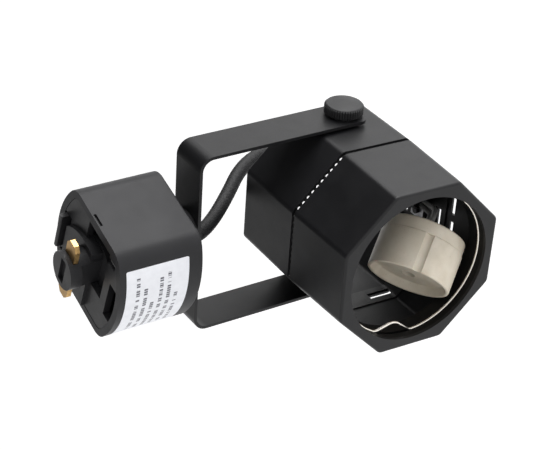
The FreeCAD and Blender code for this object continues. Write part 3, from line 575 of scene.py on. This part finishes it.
def make_film():
    radius, centre_y, half, low, high = 32.3, 10.8, 15.0, -24.0, -2.2
    columns, corner = 48, 1.2
    reach = math.asin(half / radius)
    outer, inner = radius + 0.12, radius + 0.01
    work = bmesh.new()
    film_uv = work.loops.layers.uv.new("film")
    rows = [0.0, 0.02, 0.25, 0.5, 0.75, 0.98, 1.0]
    grid = {}
    for side, r in (("out", outer), ("in", inner)):
        for i in range(columns + 1):
            for j, share in enumerate(rows):
                angle = -reach + 2 * reach * i / columns
                edge_in = corner if share in (0.0, 1.0) else 0.0
                squeezed = angle * (1 - edge_in * 0.25 / half)
                place = Vector((r * math.sin(squeezed), centre_y - r * math.cos(squeezed),
                                low + (high - low) * share)) * MM
                grid[side, i, j] = work.verts.new(adapter_frame @ place)
    for side in ("out", "in"):
        for i in range(columns):
            for j in range(len(rows) - 1):
                face = work.faces.new([grid[side, i, j], grid[side, i + 1, j],
                                       grid[side, i + 1, j + 1], grid[side, i, j + 1]])
                corners = ((i, j), (i + 1, j), (i + 1, j + 1), (i, j + 1))
                for loop, (a, b) in zip(face.loops, corners):
                    loop[film_uv].uv = (a / columns, rows[b])
    border = ([(i, 0) for i in range(columns + 1)] + [(columns, j) for j in range(1, len(rows))]
              + [(i, len(rows) - 1) for i in range(columns - 1, -1, -1)]
              + [(0, j) for j in range(len(rows) - 2, 0, -1)])
    for a, b in zip(border, border[1:] + border[:1]):
        work.faces.new([grid["out", *a], grid["out", *b], grid["in", *b], grid["in", *a]])
    bmesh.ops.recalc_face_normals(work, faces=work.faces)
    mesh = bpy.data.meshes.new("label_film")
    work.to_mesh(mesh)
    work.free()
    mesh.materials.append(label_paper)
    made = bpy.data.objects.new("label_film", mesh)
    bpy.context.scene.collection.objects.link(made)
    return sharpen(made, 40)


film = make_film()
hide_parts("rating_label")
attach(film, "adapter")


# ---- Leads from the cable's end to the lampholder ----------------------------------------------------

LEAD_R, LEAD_OFFSET = 0.9, 1.2


def make_lead(number, side):
    """One lead: straight out of the cable, then round behind the lampholder and into its cap."""
    def at_holder(beyond):
        return holder_frame @ (Vector((side * PIN_OFFSET, 0, -HOLDER_L + beyond)) * MM)

    route = [head_point(side * LEAD_OFFSET, CABLE_LEVEL, CABLE_END - 0.5),
             head_point(side * LEAD_OFFSET, CABLE_LEVEL, CABLE_END + 6),
             at_holder(-6.5), at_holder(0), at_holder(2.0)]
    path, _ = resample(smooth_path(route), 0.4 * MM)
    return tube(f"holder_lead_{number}", path, even(LEAD_R), 24, insulation)


for number, side in enumerate((-1, 1)):
    lead = make_lead(number, side)
    if number == 0:
        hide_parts("holder_leads")
    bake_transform(lead)


# ---- Latch spring -----------------------------------------------------------------------------------

def make_spring():
    radius, wire, turns, low, high = 1.6, 0.25, 7, -26.3, -13.4
    y, steps = 14.8, 32 * turns
    path = []
    for i in range(steps + 1):
        angle = TAU * turns * i / steps
        place = Vector((radius * math.cos(angle), y + radius * math.sin(angle),
                        low + (high - low) * i / steps)) * MM
        path.append(adapter_frame @ place)
    return tube("latch_coil", path, even(wire), 12, zinc_steel)


spring = make_spring()
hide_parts("latch_spring")
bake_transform(spring)


# ---- Camera, light and floor ----------------------------------------------------------------------

# The camera stands above the bracket's side of the head and is rolled so that the tilt axis points up.
camera_data = bpy.data.cameras.new("camera")
camera = bpy.data.objects.new("camera", camera_data)
bpy.context.scene.collection.objects.link(camera)
eye = pivot + Vector((0.25966, -0.37198, 0.28014))
aim = pivot + Vector((-0.00915, 0.00695, 0.01955))
ROLL = math.radians(4.0864)
back_axis = (eye - aim).normalized()
level = Vector((1, 0, 0)).cross(back_axis).normalized()
upright = back_axis.cross(level)
right_axis = level * math.cos(ROLL) + upright * math.sin(ROLL)
up_axis = back_axis.cross(right_axis)
camera.matrix_world = Matrix.Translation(eye) @ Matrix((right_axis, up_axis, back_axis)).transposed().to_4x4()
camera_data.sensor_width = 36.0
camera_data.lens = 101.39
camera_data.clip_start = 0.01
bpy.context.scene.camera = camera


def make_floor():
    """A pale floor well below the hanging light."""
    size, level = 6.0, cad_low.z - 0.35
    mesh = bpy.data.meshes.new("floor")
    mesh.from_pydata([(-size, -size, level), (size, -size, level), (size, size, level), (-size, size, level)],
                     [], [(0, 1, 2, 3)])
    floor = bpy.data.objects.new("floor", mesh)
    bpy.context.scene.collection.objects.link(floor)
    made = Nodes("floor_white")
    made.colour(made.blend(made.span(made.noise(0.004, 3), 0, 1), (0.86, 0.86, 0.86), (0.90, 0.90, 0.90)))
    made.set(Roughness=0.9, Emission_Color=(1, 1, 1, 1), Emission_Strength=0.52)
    mesh.materials.append(made.material)


def make_world():
    """White studio all round, with one darker quarter above and behind the head."""
    world = bpy.data.worlds.new("studio")
    bpy.context.scene.world = world
    world.use_nodes = True
    tree = world.node_tree
    background = tree.nodes["Background"]
    coords = tree.nodes.new("ShaderNodeTexCoord")
    dot = tree.nodes.new("ShaderNodeVectorMath")
    dot.operation = "DOT_PRODUCT"
    dot.inputs[1].default_value = Vector((0.38, 0.66, 0.64)).normalized()
    tree.links.new(coords.outputs["Generated"], dot.inputs[0])
    ramp = tree.nodes.new("ShaderNodeMapRange")
    ramp.interpolation_type = "SMOOTHSTEP"
    for key, value in (("From Min", 0.25), ("From Max", 0.90), ("To Min", 1.0), ("To Max", 0.04)):
        ramp.inputs[key].default_value = value
    tree.links.new(dot.outputs["Value"], ramp.inputs["Value"])
    background.inputs["Color"].default_value = (1, 1, 1, 1)
    tree.links.new(ramp.outputs["Result"], background.inputs["Strength"])


def soft_light(name, place, aim_at, size, power):
    data = bpy.data.lights.new(name, "AREA")
    data.size = size
    data.energy = power
    lamp = bpy.data.objects.new(name, data)
    lamp.location = place
    lamp.rotation_mode = "QUATERNION"
    lamp.rotation_quaternion = (Vector(place) - Vector(aim_at)).to_track_quat("Z", "Y")
    bpy.context.scene.collection.objects.link(lamp)


make_floor()
make_world()
soft_light("key_light", pivot + Vector((0.75, 0.15, -0.05)), pivot, 0.6, 6.3)
bpy.context.scene.view_settings.view_transform = "Standard"
